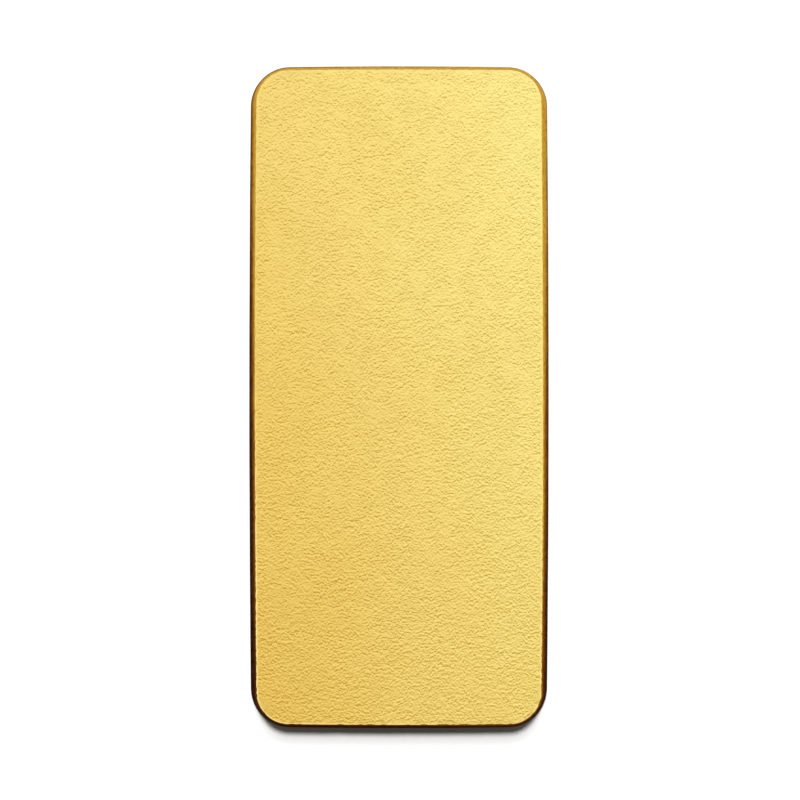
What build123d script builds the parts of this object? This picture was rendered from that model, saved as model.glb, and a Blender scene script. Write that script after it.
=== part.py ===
from build123d import *
import os
from math import cos, radians, tan

# A flat cast ingot: one kilogram of fine gold, poured into an open mould and left to set.
# It lies as it comes to rest, with the face that set in the open air down and the flat face
# that lay on the mould's bottom up. X runs across the bar, Y along it and Z up, in
# millimetres, and the origin is the middle of the plane that it rests on.

# Overall size. Length and width are those of the widest section.
length = 117.0
width = 53.0
thickness = 8.9

# What the mould gives: walls that lean out towards its mouth, long sides and ends that bow
# out a little in the middle, round corners and a small radius round the mould's bottom.
draft_angle = 10.0
side_bow = 0.35
end_bow = 0.25
corner_radius = 5.3
mould_edge_radius = 0.45

# What the open air gives: a rim that surface tension rounds off, a narrow level land inside
# it, and then a hollow where the metal shrank as it set. The hollow's flank levels out into
# a flat floor, part of the way from the land to the bar's middle line.
rim_radius = 1.5
land_width = 1.7
hollow_depth = 0.3
hollow_corner_radius = 8.0
flank_reach = 0.56
flank_sections = 4

# The rim's round starts on a leaning wall, so the widest section lies one rim radius up, and
# the sharp corner that the round takes off would stand out past it.
lean = radians(draft_angle)
rim_overhang = rim_radius * (tan(lean) + 1 / cos(lean) - 1)
mouth_corner_radius = corner_radius + thickness * tan(lean)

# The hollow starts where the land ends, and its corners stay rounder than the wall's, as far
# as the section that they are in has room for them.
hollow_inset = rim_radius + land_width
hollow_half_width = width / 2 - side_bow - hollow_inset
corner_room = 0.9


def bowed_outline(plane, inset, radius):
    """The bar's outline on a plane, drawn in from the widest section by the inset."""
    side_x = width / 2 - inset
    end_y = length / 2 - inset
    corner_x = side_x - side_bow
    corner_y = end_y - end_bow
    with BuildSketch(plane) as outline:
        with BuildLine():
            ThreePointArc((corner_x, -corner_y), (side_x, 0), (corner_x, corner_y))
            ThreePointArc((corner_x, corner_y), (0, end_y), (-corner_x, corner_y))
            ThreePointArc((-corner_x, corner_y), (-side_x, 0), (-corner_x, -corner_y))
            ThreePointArc((-corner_x, -corner_y), (0, -end_y), (corner_x, -corner_y))
        make_face()
        fillet(outline.vertices(), radius)
    return outline.sketch


def hollow_section(share):
    """The hollow's outline at a share of its flank, from 0 at the land to 1 at its floor."""
    depth = hollow_depth * (1 - (1 - share) ** 2)
    across = hollow_half_width * flank_reach * share
    radius = min(hollow_corner_radius, corner_room * (hollow_half_width - across))
    return bowed_outline(Plane.XY.offset(depth), hollow_inset + across, radius)


with BuildPart() as ingot:
    with BuildSketch():
        add(bowed_outline(Plane.XY, -rim_overhang, mouth_corner_radius))
    extrude(amount=thickness, taper=draft_angle)
    fillet(ingot.edges().group_by(Axis.Z)[-1], mould_edge_radius)
    fillet(ingot.edges().group_by(Axis.Z)[0], rim_radius)
    shares = [step / (flank_sections - 1) for step in range(flank_sections)]
    loft([hollow_section(share) for share in shares], mode=Mode.SUBTRACT)

ingot.part.label = "ingot"
os.makedirs("parts", exist_ok=True)
export_step(ingot.part, "parts/ingot.step")
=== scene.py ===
"""The looks of a flat cast gold ingot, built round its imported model.

The bar lies on its pour face. One closed mesh stands for its solid: a fine grid on the mould
face, which is up, rings of faces round the walls and the rim, and a coarser grid underneath.
The mesh is worked out in millimetres, with X across the bar, Y along it and Z up.
"""

import math
from collections import namedtuple

import bpy
import numpy as np
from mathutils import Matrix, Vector, noise


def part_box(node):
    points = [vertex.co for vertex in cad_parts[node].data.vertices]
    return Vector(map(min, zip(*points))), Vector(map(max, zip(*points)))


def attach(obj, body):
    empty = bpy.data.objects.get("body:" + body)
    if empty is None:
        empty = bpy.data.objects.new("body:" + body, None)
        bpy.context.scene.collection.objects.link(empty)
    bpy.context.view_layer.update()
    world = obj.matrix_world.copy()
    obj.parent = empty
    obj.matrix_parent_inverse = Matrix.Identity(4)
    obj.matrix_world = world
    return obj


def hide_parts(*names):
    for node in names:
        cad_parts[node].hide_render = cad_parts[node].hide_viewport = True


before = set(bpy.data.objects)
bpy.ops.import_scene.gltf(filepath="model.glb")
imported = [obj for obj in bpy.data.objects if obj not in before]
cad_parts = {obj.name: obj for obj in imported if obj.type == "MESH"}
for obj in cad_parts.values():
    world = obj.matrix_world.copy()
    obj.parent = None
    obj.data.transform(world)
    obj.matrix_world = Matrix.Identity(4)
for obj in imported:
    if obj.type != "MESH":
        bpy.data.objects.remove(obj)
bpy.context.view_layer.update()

MM = 0.001

# Overall size, from the imported model. The widest section lies one rim radius above the floor.
_, ingot_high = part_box("ingot")
half_width = ingot_high.x / MM
half_length = ingot_high.y / MM
thickness = ingot_high.z / MM

# What the mould gives: leaning walls, bowed sides, round corners, and a narrow bevel round the
# mould face. The bevel starts a little way in from where the edge would be if it were sharp, and
# its upper share has the mould face's finish.
draft = math.radians(10)
side_bow = 0.35
end_bow = 0.25
corner_radius = 5.3
bevel_set_back = 0.24
bevel_width = 0.28
bevel_drop = 0.50
bevel_face_share = 0.45

# The round where the mould face turns into the bevel. Each pair is one ring of it, as multiples
# of the round: how far in from the bevel's top edge, and how far below the mould face.
bevel_round = 0.03
bevel_round_rings = ((3.0, 0.0), (1.0, 0.0), (0.0, 0.2), (-0.5, 0.8))

# What the open air gives: a rounded rim, a level land, and a shrinkage hollow inside it. The
# hollow falls over the width of its flank. Its corners are arcs of the lip radius at the land and
# turn squarer towards its floor. The formula for its depth has each corner start one round size
# from where its sides would meet, and the squareness is the power that gives it the lip's arc.
rim_radius = 1.5
land_width = 1.7
hollow_depth = 0.3
hollow_flank = 12.85
hollow_lip_radius = 8.0
hollow_round_size = 13.5
hollow_squareness = 3.64
lip_x = half_width - rim_radius - land_width
lip_y = half_length - rim_radius - land_width

# How finely the mesh is cut. The mould face and the pour face each have a grid, with a band of
# rings round it. The counts are those of the mould face's grid, and the pour face has half as
# many faces each way. The walls' rings lie closer together towards the bevel, by a power.
across_count = 146
along_count = 342
band_rings = 9
band_width = 3.0
wall_rings = 13
wall_crowding = 1.5
rim_rings = 6
pour_band_rings = 5
pour_band_width = 3.5

# Relief of the cast surfaces. It only ever cuts in, so the bar stays inside its true size. A range
# says at which value of its noise a relief starts to cut in, and at which it is at full depth. A
# margin is how far it takes to come in: from the mould face's edge for the grain, from the rim
# and from the bevel for the pits, and as a share of the hollow's flank for the ripples. Between
# its islands the grain has only a share of its depth.
grain_depth = 0.013
grain_size = 0.6
grain_range = (-0.6, 0.6)
grain_margin = 0.3
island_size = 2.2
island_range = (-0.5, 0.1)
grain_off_island = 0.6
nick_depth = 0.12
nick_size = 0.7
nick_range = (-0.05, 0.5)
nick_reach = 0.1
nick_slope = math.radians(45)
pit_depth = 0.12
pit_size = 0.8
pit_range = (-0.1, 0.7)
pit_foot_margin = 3.0
pit_top_margin = 0.6
wave_depth = 0.04
wave_size = 14.0
ripple_depth = 0.05
ripple_spacing = 4.2
ripple_margin = 0.3
pour_grain_depth = 0.04
pour_grain_size = 1.8

# Relief that is finer than the mesh is bump, with these heights.
grain_bump = 0.19
wall_bump = 0.14
pour_bump = 0.05

# Each octave of the relief's noise is this many times finer than the one before, and fainter by
# this power of that.
octave_ratio = 2.1
octave_fading = 1.0

# The camera looks straight down from this far above the mould face, a little off the bar's
# middle. Its lens and sensor are in millimetres too.
camera_height = 500.0
camera_x = 0.18
camera_y = -0.50
camera_lens = 129.15
camera_sensor = 36.0

# The floor's lamps: how wide each one looks, in degrees, and how far its light leans towards -Y
# for each unit that it falls.
Lamp = namedtuple("Lamp", "name energy width lean")
floor_lamps = (
    Lamp("floor_lamp", energy=21.0, width=7.0, lean=0.32),
    Lamp("low_floor_lamp", energy=10.6, width=16.0, lean=0.50),
)

# The three kinds of surface. Each has its own relief and its own material.
FACE, WALL, POUR = range(3)

# The two level faces: their height, the way along Z that they face, and their kind of surface.
Level = namedtuple("Level", "height up zone")
mould_level = Level(height=thickness, up=1.0, zone=FACE)
pour_level = Level(height=0.0, up=-1.0, zone=POUR)

# One ring of points round the bar: how far in it lies from the widest section, its height, the
# slope of the lines that its relief is cut in along, the relief that it gets, and the material of
# the faces above it. Nicks are all cut in at one slope, so that the edge's rings keep their order.
Ring = namedtuple("Ring", "inset height slope zone finish")


def rim_ring(slope):
    """The ring where the lines that stand square on the rounded rim have that slope."""
    inset = rim_radius - rim_radius * math.cos(slope)
    height = rim_radius + rim_radius * math.sin(slope)
    return Ring(inset, height, slope, WALL, WALL)


def section_rings():
    """The bar's section as rings, from the mould face's edge down to the rim's foot."""
    overhang = rim_radius * (math.tan(draft) + 1 / math.cos(draft) - 1)
    top_inset = thickness * math.tan(draft) - overhang + bevel_set_back
    rings = []
    for inward, down in bevel_round_rings:
        inset = top_inset + inward * bevel_round
        rings.append(Ring(inset, thickness - down * bevel_round, nick_slope, FACE, FACE))
    for share, finish in ((bevel_face_share, FACE), (1.0, WALL)):
        inset = top_inset - share * bevel_width
        rings.append(Ring(inset, thickness - share * bevel_drop, nick_slope, FACE, finish))

    wall_top = rings[-1]
    wall_foot = rim_ring(draft)
    for k in range(1, wall_rings):
        share = (k / wall_rings) ** wall_crowding
        inset = wall_top.inset + (wall_foot.inset - wall_top.inset) * share
        height = wall_top.height + (wall_foot.height - wall_top.height) * share
        rings.append(Ring(inset, height, draft, WALL, WALL))
    straight_down = math.radians(-90)
    for k in range(rim_rings + 1):
        rings.append(rim_ring(draft + (straight_down - draft) * k / rim_rings))
    return rings


# The section's rings, how far in the mould face's edge lies from the widest section, and the
# corner radius of that section. All rings have the same centres of curvature at the corners.
section = section_rings()
face_inset = section[0].inset
widest_radius = corner_radius + face_inset


def outline(half_x, half_y, radius, x_count, y_count):
    """A rounded rectangle as centres of curvature and outward normals, evenly spaced.
    It runs from the middle of the corner at -X -Y, along the four sides in turn."""
    centres = []
    normals = []
    arc = radius * math.pi / 4
    quarter_turn = np.array([[0.0, -1.0], [1.0, 0.0]])
    along = np.array([1.0, 0.0])
    out = np.array([0.0, -1.0])
    for side in range(4):
        ends = side % 2 == 0
        count = x_count if ends else y_count
        run = (half_x if ends else half_y) - radius
        reach = (half_y if ends else half_x) - radius
        distance = np.arange(count) / count * 2 * (arc + run)
        bend = (np.minimum(distance, arc) - arc + np.maximum(distance - arc - 2 * run, 0)) / radius
        centres.append(np.outer(np.clip(distance - arc, 0, 2 * run) - run, along) + reach * out)
        normals.append(np.outer(np.sin(bend), along) + np.outer(np.cos(bend), out))
        along = quarter_turn @ along
        out = quarter_turn @ out
    return np.concatenate(centres), np.concatenate(normals)


def rectangle_grid(half_x, half_y, x_count, y_count):
    """Evenly spaced points of a rectangle, in rows along X, and the indices round its edge."""
    xs = np.linspace(-half_x, half_x, x_count + 1)
    ys = np.linspace(-half_y, half_y, y_count + 1)
    points = np.array([(x, y) for y in ys for x in xs])
    row = x_count + 1
    last = y_count * row
    border = list(range(x_count))
    border += [x_count + j * row for j in range(y_count)]
    border += [last + x_count - i for i in range(x_count)]
    border += [last - j * row for j in range(y_count)]
    return points, np.array(border)


def at_height(flat_points, height):
    return [(x, y, height) for x, y in flat_points]


class Shell:
    """The closed mesh as it is put together, one patch or ring after another."""

    def __init__(self):
        self.points = []
        self.normals = []
        self.zones = []
        self.faces = []
        self.finishes = []

    def add_points(self, points, normals, zone):
        """Adds points that share a zone and returns their indices."""
        start = len(self.points)
        self.points.extend(points)
        self.normals.extend(normals)
        self.zones.extend([zone] * len(points))
        return np.arange(start, start + len(points))

    def add_level_points(self, flat_points, level):
        """Adds points of a level face and returns their indices."""
        normals = [(0.0, 0.0, level.up)] * len(flat_points)
        return self.add_points(at_height(flat_points, level.height), normals, level.zone)

    def add_face(self, corners, finish):
        self.faces.append(tuple(int(c) for c in corners))
        self.finishes.append(finish)

    def fill_grid(self, indices, x_count, y_count, level):
        """Faces of a level grid of points in rows along X."""
        row = x_count + 1
        for j in range(y_count):
            for i in range(x_count):
                a = j * row + i
                corners = (indices[a], indices[a + 1], indices[a + row + 1], indices[a + row])
                self.add_face(corners if level.up > 0 else corners[::-1], level.zone)

    def join_rings(self, upper, lower, finish):
        """Faces between two rings of as many points, the first of them the upper one."""
        count = len(upper)
        for i in range(count):
            n = (i + 1) % count
            self.add_face((upper[i], lower[i], lower[n], upper[n]), finish)

    def halve_ring(self, upper, lower, finish):
        """Faces from a ring to one with half as many points."""
        count = len(lower)
        for i in range(count):
            n = (i + 1) % count
            left, middle, right = upper[2 * i], upper[2 * i + 1], upper[2 * n]
            self.add_face((left, lower[i], middle), finish)
            self.add_face((middle, lower[i], lower[n]), finish)
            self.add_face((middle, lower[n], right), finish)

    def add_band(self, ring, start, end, count, level):
        """Rings of a level face that step from one outline to another. The ring it starts from
        is there already, and the last one is left to the caller. Returns the last one added."""
        for k in range(1, count):
            lower = self.add_level_points(start + (end - start) * k / count, level)
            self.join_rings(ring, lower, level.zone)
            ring = lower
        return ring


def build_mould_face(shell, edge):
    """The face on top: a grid, and the band from there out to its edge."""
    inner_x = half_width - face_inset - band_width
    inner_y = half_length - face_inset - band_width
    grid, border = rectangle_grid(inner_x, inner_y, across_count, along_count)
    top = shell.add_level_points(grid, mould_level)
    shell.fill_grid(top, across_count, along_count, mould_level)
    return shell.add_band(top[border], grid[border], edge, band_rings, mould_level)


def build_sides(shell, ring, centres, outward):
    """The bevel, the walls and the rim, down to the rim's foot."""
    for step in section:
        flat = centres + (widest_radius - step.inset) * outward
        across = math.cos(step.slope)
        normals = [(across * x, across * y, math.sin(step.slope)) for x, y in outward]
        lower = shell.add_points(at_height(flat, step.height), normals, step.zone)
        shell.join_rings(ring, lower, step.finish)
        ring = lower
    return ring


def build_pour_face(shell, ring):
    """The face underneath: the land, the band inside it, and a grid that closes the shell."""
    x_count = across_count // 2
    y_count = along_count // 2
    lip_centres, lip_outward = outline(lip_x, lip_y, hollow_lip_radius, x_count, y_count)
    lip = lip_centres + hollow_lip_radius * lip_outward
    lip_ring = shell.add_level_points(lip, pour_level)
    shell.halve_ring(ring, lip_ring, POUR)

    inner_x = lip_x - pour_band_width
    inner_y = lip_y - pour_band_width
    grid, border = rectangle_grid(inner_x, inner_y, x_count, y_count)
    inner_ring = shell.add_band(lip_ring, lip, grid[border], pour_band_rings, pour_level)
    under = shell.add_level_points(grid, pour_level)
    shell.join_rings(inner_ring, under[border], POUR)
    shell.fill_grid(under, x_count, y_count, pour_level)


def build_shell():
    """The bar's smooth form as one closed shell, with straight sides."""
    shell = Shell()
    centres, outward = outline(half_width, half_length, widest_radius, across_count, along_count)
    face_ring = build_mould_face(shell, centres + corner_radius * outward)
    foot_ring = build_sides(shell, face_ring, centres, outward)
    build_pour_face(shell, foot_ring)
    return shell


def smooth_step(low, high, value):
    """0 below low, 1 above high, and a smooth rise between them."""
    share = np.clip((value - low) / (high - low), 0, 1)
    return share * share * (3 - 2 * share)


def noise_at(points, size, octaves=1, seed=0.0):
    """Noise from about -1 to 1 at each point, with features of that size."""
    places = [(x / size, y / size, z / size + seed) for x, y, z in points]
    return np.array([noise.fractal(place, octave_fading, octave_ratio, octaves) for place in places])


def face_edge_distance(points):
    """How far inside the mould face's edge each point lies."""
    x, y, _ = np.abs(points).T
    side = x - (half_width - face_inset - corner_radius)
    end = y - (half_length - face_inset - corner_radius)
    outside = np.hypot(np.maximum(side, 0), np.maximum(end, 0))
    return corner_radius - outside - np.minimum(np.maximum(side, end), 0)


def hollow_share(points):
    """How far down the hollow's flank each point is, from 0 at the land to 1 on its floor."""
    x, y, _ = np.abs(points).T
    from_side = np.maximum(hollow_round_size - (lip_x - x), 0)
    from_end = np.maximum(hollow_round_size - (lip_y - y), 0)
    both = from_side**hollow_squareness + from_end**hollow_squareness
    return np.clip((hollow_round_size - both ** (1 / hollow_squareness)) / hollow_flank, 0, 1)


def face_relief(points):
    """Fine grain, deeper in small islands, and nicks along the edge where the grain stops."""
    edge = face_edge_distance(points)
    island = smooth_step(*island_range, noise_at(points, island_size, seed=7.0))
    strength = grain_off_island + (1 - grain_off_island) * island
    grain = smooth_step(*grain_range, noise_at(points, grain_size)) * strength
    nicks = smooth_step(*nick_range, noise_at(points, nick_size, 2, seed=60.0))
    inside = smooth_step(0.0, grain_margin, edge)
    at_edge = 1 - smooth_step(0.0, nick_reach, edge)
    return inside * grain_depth * grain + at_edge * nick_depth * nicks


def wall_relief(points):
    """Small pits between the rim and the bevel, over a slow wave."""
    height = points[:, 2]
    pits = smooth_step(*pit_range, noise_at(points, pit_size, 2, seed=20.0))
    waves = 0.5 + 0.5 * noise_at(points, wave_size, seed=30.0)
    above_rim = smooth_step(rim_radius, rim_radius + pit_foot_margin, height)
    below_bevel = smooth_step(0.0, pit_top_margin, thickness - bevel_drop - height)
    return pit_depth * pits * above_rim * below_bevel + wave_depth * np.clip(waves, 0, 1)


def pour_relief(points):
    """The shrinkage hollow, with the faint rings and grain that it set with."""
    share = hollow_share(points)
    fall = hollow_depth * (1 - (1 - share) ** 2)
    ripples = 0.5 - 0.5 * np.cos(share * hollow_flank / ripple_spacing * 2 * math.pi)
    grain = 0.5 + 0.5 * noise_at(points, pour_grain_size, 3, seed=40.0)
    inside = smooth_step(0.0, ripple_margin, share)
    return fall + inside * (ripple_depth * ripples + pour_grain_depth * grain)


def bow(points):
    """The outline's slight bow: full size at the middle of each side, drawn in at its ends."""
    x, y, z = points.T
    x_share = x / half_width
    y_share = y / half_length
    bowed_x = x - side_bow * x_share * y_share**2
    bowed_y = y - end_bow * y_share * x_share**2
    return np.column_stack((bowed_x, bowed_y, z))


def make_ingot(materials):
    """The bar's mesh, with an attribute that is 1 where the mould face's grain is at its full
    strength and falls to 0 at the face's edge."""
    shell = build_shell()
    points = np.array(shell.points)
    zones = np.array(shell.zones)
    depth = np.zeros(len(points))
    for zone, relief in ((FACE, face_relief), (WALL, wall_relief), (POUR, pour_relief)):
        depth[zones == zone] = relief(points[zones == zone])
    shaped = bow(points - np.array(shell.normals) * depth[:, None]) * MM

    mesh = bpy.data.meshes.new("cast_ingot")
    mesh.from_pydata(shaped.tolist(), [], shell.faces)
    for material in materials:
        mesh.materials.append(material)
    mesh.polygons.foreach_set("material_index", shell.finishes)
    mesh.polygons.foreach_set("use_smooth", [True] * len(shell.faces))
    inside = smooth_step(0.0, grain_margin, face_edge_distance(points))
    grain = mesh.attributes.new("grain", "FLOAT", "POINT")
    grain.data.foreach_set("value", (zones == FACE) * inside)
    mesh.validate()
    ingot = bpy.data.objects.new("cast_ingot", mesh)
    bpy.context.scene.collection.objects.link(ingot)
    return ingot


class Nodes:
    """Short calls for the node tree of a material or a world."""

    def __init__(self, owner):
        self.owner = owner
        owner.use_nodes = True
        self.tree = owner.node_tree
        self.tree.nodes.clear()

    def set(self, socket, value):
        """Gives a socket a plain value, or links it to another node's output."""
        if isinstance(value, bpy.types.NodeSocket):
            self.tree.links.new(value, socket)
        else:
            socket.default_value = value

    def add(self, kind, inputs=None, **settings):
        """Adds a node with those settings, and sets or links those of its sockets."""
        node = self.tree.nodes.new(kind)
        for name, value in settings.items():
            setattr(node, name, value)
        for name, value in (inputs or {}).items():
            self.set(node.inputs[name], value)
        return node

    def coordinates(self, kind="Object"):
        return self.add("ShaderNodeTexCoord").outputs[kind]

    def split(self, vector):
        return self.add("ShaderNodeSeparateXYZ", {"Vector": vector}).outputs

    def calculate(self, operation, first, second=0.0):
        return self.add("ShaderNodeMath", {0: first, 1: second}, operation=operation).outputs[0]

    def remap(self, value, low, high, to_low=0.0, to_high=1.0, **settings):
        """A value's range from low to high, moved to another range."""
        inputs = {"Value": value, "From Min": low, "From Max": high, "To Min": to_low, "To Max": to_high}
        return self.add("ShaderNodeMapRange", inputs, **settings).outputs["Result"]

    def noise(self, position, scale, detail, roughness=0.5):
        inputs = {"Vector": position, "Scale": scale, "Detail": detail, "Roughness": roughness}
        return self.add("ShaderNodeTexNoise", inputs).outputs["Fac"]

    def mottle(self, pattern, low, high, **settings):
        """A noise pattern whose usual values, 0.3 to 0.7, are spread from low to high."""
        return self.remap(pattern, 0.3, 0.7, low, high, **settings)

    def mix(self, share, first, second):
        """A mix of two colours. Its sockets go by number, because other kinds of mix have
        sockets of the same names."""
        node = self.add("ShaderNodeMix", {0: share, 6: first, 7: second}, data_type="RGBA")
        return node.outputs[2]

    def bump(self, height, depth):
        """A bump of that depth in millimetres, for a height from 0 to 1."""
        inputs = {"Strength": 1.0, "Distance": depth * MM, "Height": height}
        return self.add("ShaderNodeBump", inputs).outputs["Normal"]

    def metal(self, inputs):
        """A bare metal surface, as the material's output."""
        shader = self.add("ShaderNodeBsdfPrincipled", {"Metallic": 1.0, **inputs}).outputs["BSDF"]
        return self.finish(shader)

    def finish(self, shader, output="ShaderNodeOutputMaterial"):
        """Gives the shader to the output, and returns the material or world that is now done."""
        self.add(output, {"Surface": shader})
        return self.owner


def mould_face_material():
    """Satin gold with a fine grain and a random mottle of tone, and painted light: a painted reflection
    of brighter light makes it paler towards +X and a little towards +Y. Its edge has a painted
    highlight, strongest towards -Y and a little towards -X."""
    nodes = Nodes(bpy.data.materials.new("gold_mould_face"))
    position = nodes.coordinates()
    x, y, _ = nodes.split(position)
    inside = nodes.add("ShaderNodeAttribute", attribute_name="grain").outputs["Fac"]

    deep_gold = (0.845, 0.58, 0.135, 1)
    pale_gold = (0.935, 0.78, 0.26, 1)
    painted_highlight_gold = (1.0, 0.80, 0.29, 1)
    # Painted light: the tone pales towards +X and a little towards +Y, where brighter light falls, with
    # a random mottle of tone on top.
    lean = nodes.calculate("ADD", nodes.calculate("MULTIPLY", x, 4.1), y)
    cloud = nodes.mottle(nodes.noise(position, 60.0, 3.0), -0.08, 0.08)
    painted_light_and_mottle = nodes.calculate("ADD", nodes.remap(lean, -150 * MM, 150 * MM), cloud)
    colour = nodes.mix(painted_light_and_mottle, deep_gold, pale_gold)
    # Painted highlight: a pale line along the face's edge, strongest towards -Y and a little towards -X,
    # where the bevel would catch the light.
    painted_highlight_lean = nodes.calculate("ADD", nodes.calculate("MULTIPLY", x, 0.35), y)
    painted_edge_highlight = nodes.remap(painted_highlight_lean, -45 * MM, 0.0, 0.9, 0.05)
    at_edge = nodes.remap(inside, 0.0, 0.3, 1.0, 0.0)
    colour = nodes.mix(nodes.calculate("MULTIPLY", painted_edge_highlight, at_edge), colour, painted_highlight_gold)

    island = nodes.remap(nodes.noise(position, 500.0, 1.0), 0.38, 0.52, 0.55, 1.0)
    mapping = nodes.add("ShaderNodeMapping", {"Vector": position, "Scale": (1.15, 1.0, 1.0)})
    narrow_noise = nodes.noise(mapping.outputs["Vector"], 2650.0, 0.6)
    grain = nodes.calculate("SUBTRACT", narrow_noise, 0.5)
    height = nodes.calculate("MULTIPLY", grain, nodes.calculate("MULTIPLY", island, inside))
    return nodes.metal({
        "Base Color": colour,
        "Roughness": nodes.mottle(nodes.noise(position, 250.0, 3.0), 0.30, 0.40),
        "Normal": nodes.bump(height, grain_bump),
    })


def wall_material():
    """Gold that took the mould's skin, under painted shade: a brown that deepens towards the wall's foot
    and towards -X -Y, up to nearly black, broken by random patches of tone. Glancing reflections are
    dark."""
    nodes = Nodes(bpy.data.materials.new("gold_wall"))
    position = nodes.coordinates()
    x, y, z = nodes.split(position)

    # Painted shade: darker towards the wall's foot and towards -X -Y, away from the light. The cloud and
    # dots are random tone.
    lean_x = nodes.calculate("MULTIPLY", x, 0.04)
    lean_y = nodes.calculate("MULTIPLY", y, 0.07)
    height = nodes.calculate("ADD", z, nodes.calculate("ADD", lean_x, lean_y))
    cloud = nodes.mottle(nodes.noise(position, 220.0, 5.0, 0.6), -0.12, 0.12)
    dots = nodes.mottle(nodes.noise(position, 2600.0, 1.0), -0.1, 0.1, clamp=False)
    patches = nodes.calculate("ADD", cloud, dots)
    painted_light_and_patches = nodes.calculate("ADD", nodes.remap(height, 3.0 * MM, 8.8 * MM, clamp=False), patches)

    # The painted shade's colours, from nearly black up to bare gold.
    black_painted_shade = (0.06, 0.02, 0.003, 1)
    deep_painted_shade = (0.15, 0.054, 0.008, 1)
    light_painted_shade = (0.40, 0.18, 0.019, 1)
    bare_gold = (0.88, 0.57, 0.11, 1)
    colour = nodes.mix(nodes.remap(painted_light_and_patches, -0.5, 0.1), black_painted_shade, deep_painted_shade)
    colour = nodes.mix(nodes.remap(painted_light_and_patches, 0.0, 0.5), colour, light_painted_shade)
    colour = nodes.mix(nodes.remap(painted_light_and_patches, 0.5, 0.95), colour, bare_gold)

    # The roughness follows the painted shade a little.
    roughness_with_painted_shade = nodes.remap(painted_light_and_patches, 0.0, 1.0, 0.52, 0.48)
    at_ends = nodes.remap(nodes.calculate("ABSOLUTE", y), 50 * MM, 58 * MM, 0.0, 0.07)
    speckle = nodes.mottle(nodes.noise(position, 2200.0, 1.0), -0.15, 0.15)
    roughness = nodes.calculate("ADD", roughness_with_painted_shade, nodes.calculate("ADD", at_ends, speckle))
    return nodes.metal({
        "Base Color": colour,
        "Roughness": roughness,
        "Specular Tint": (0.05, 0.01, 0.0, 1),
        "Normal": nodes.bump(nodes.noise(position, 3000.0, 1.0), wall_bump),
    })


def pour_face_material():
    """Gold that set in the open air: smoother, with a faint frost."""
    nodes = Nodes(bpy.data.materials.new("gold_pour_face"))
    position = nodes.coordinates()
    clear_gold = (0.82, 0.56, 0.13, 1)
    frosted_gold = (0.90, 0.69, 0.19, 1)
    frost = nodes.mottle(nodes.noise(position, 80.0, 3.0), 0.0, 1.0)
    return nodes.metal({
        "Base Color": nodes.mix(frost, clear_gold, frosted_gold),
        "Roughness": 0.3,
        "Normal": nodes.bump(nodes.noise(position, 700.0, 3.0), pour_bump),
    })


def make_floor():
    """A plain dull floor, which its lamps bring up to white wherever no shadow falls."""
    nodes = Nodes(bpy.data.materials.new("floor_white"))
    dull_grey = (0.11, 0.11, 0.115, 1)
    shader = nodes.add("ShaderNodeBsdfDiffuse", {"Color": dull_grey}).outputs["BSDF"]
    reach = 20000 * MM
    corners = [(-reach, -reach, 0), (reach, -reach, 0), (reach, reach, 0), (-reach, reach, 0)]
    mesh = bpy.data.meshes.new("floor")
    mesh.from_pydata(corners, [], [(0, 1, 2, 3)])
    mesh.materials.append(nodes.finish(shader))
    floor = bpy.data.objects.new("floor", mesh)
    bpy.context.scene.collection.objects.link(floor)
    return floor


def light_floor(floor):
    """Two lamps for the floor alone, high over the +Y end. The narrow one gives the bar's short
    shadow its dark core, and the lower and wider one fades it out."""
    lit = bpy.data.collections.new("lit_by_floor_lamps")
    lit.objects.link(floor)
    for lamp in floor_lamps:
        light = bpy.data.lights.new(lamp.name, "SUN")
        light.color = (1.0, 1.0, 0.95)
        light.energy = lamp.energy
        light.angle = math.radians(lamp.width)
        sun = bpy.data.objects.new(lamp.name, light)
        sun.rotation_mode = "QUATERNION"
        sun.rotation_quaternion = Vector((0.0, -lamp.lean, -1.0)).to_track_quat("-Z", "Y")
        bpy.context.scene.collection.objects.link(sun)
        sun.light_linking.receiver_collection = lit


def light_world():
    """Soft light: white from overhead and +Y, a dim amber from -Y, which draws the grain, and a
    warm grey low down all round."""
    world = bpy.data.worlds.new("studio")
    bpy.context.scene.world = world
    nodes = Nodes(world)
    _, y, z = nodes.split(nodes.coordinates("Generated"))
    overhead = nodes.remap(z, 0.0, 0.7, interpolation_type="SMOOTHSTEP")
    far_side = nodes.remap(y, -0.6, 0.2, interpolation_type="SMOOTHSTEP")
    amber = (0.57, 0.435, 0.09, 1)
    white = (1.15, 1.18, 1.24, 1)
    warm_grey = (0.62, 0.56, 0.45, 1)
    sky = nodes.mix(overhead, warm_grey, nodes.mix(far_side, amber, white))
    shader = nodes.add("ShaderNodeBackground", {"Color": sky, "Strength": 1.0}).outputs["Background"]
    nodes.finish(shader, "ShaderNodeOutputWorld")


def add_camera():
    """Looks straight down on the bar from half a metre above its mould face."""
    camera_data = bpy.data.cameras.new("camera")
    camera_data.sensor_width = camera_sensor
    camera_data.lens = camera_lens
    camera = bpy.data.objects.new("camera", camera_data)
    camera.location = (camera_x * MM, camera_y * MM, (thickness + camera_height) * MM)
    bpy.context.scene.collection.objects.link(camera)
    bpy.context.scene.camera = camera


ingot = make_ingot([mould_face_material(), wall_material(), pour_face_material()])
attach(ingot, "root")
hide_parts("ingot")
light_floor(make_floor())
light_world()
add_camera()
bpy.context.scene.view_settings.view_transform = "Standard"
